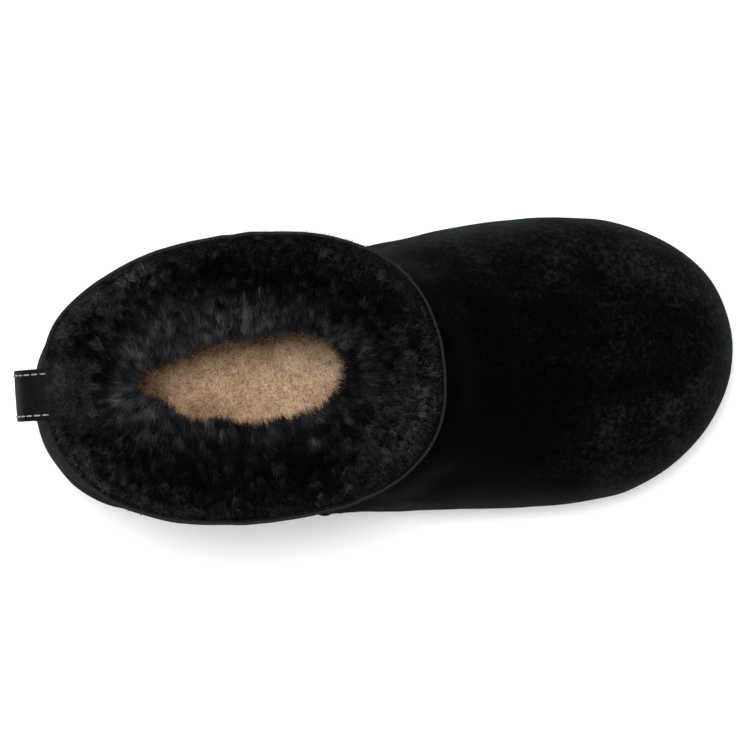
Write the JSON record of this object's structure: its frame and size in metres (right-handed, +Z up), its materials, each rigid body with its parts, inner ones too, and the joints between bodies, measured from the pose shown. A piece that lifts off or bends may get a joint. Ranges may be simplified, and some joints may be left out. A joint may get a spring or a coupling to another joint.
{
  "type": "sheepskin ankle boot",
  "caption": "Pull-on sheepskin ankle boot for the right foot: suede upper with deep pile inside, open collar, fleece insole, stitched pull tab and flat lugged rubber outsole.",
  "frame": {"origin": "on the floor, under the middle of the whole boot's bounding box", "axes": "+X towards the toe, +Y towards the medial (inner) side, +Z up"},
  "size_m": [0.2682, 0.1104, 0.1332],
  "materials": {
    "rubber": "matte moulded foam rubber",
    "fleece": "tan curly fleece",
    "suede": "black napped suede",
    "strap": "black smooth leather strap",
    "pile": "deep black sheepskin pile",
    "thread": "white sewing thread"
  },
  "bodies": {
    "root": {"outsole": "rubber", "insole": "fleece", "upper": "suede", "pull_tab": "strap"}
  },
  "joints": []
}
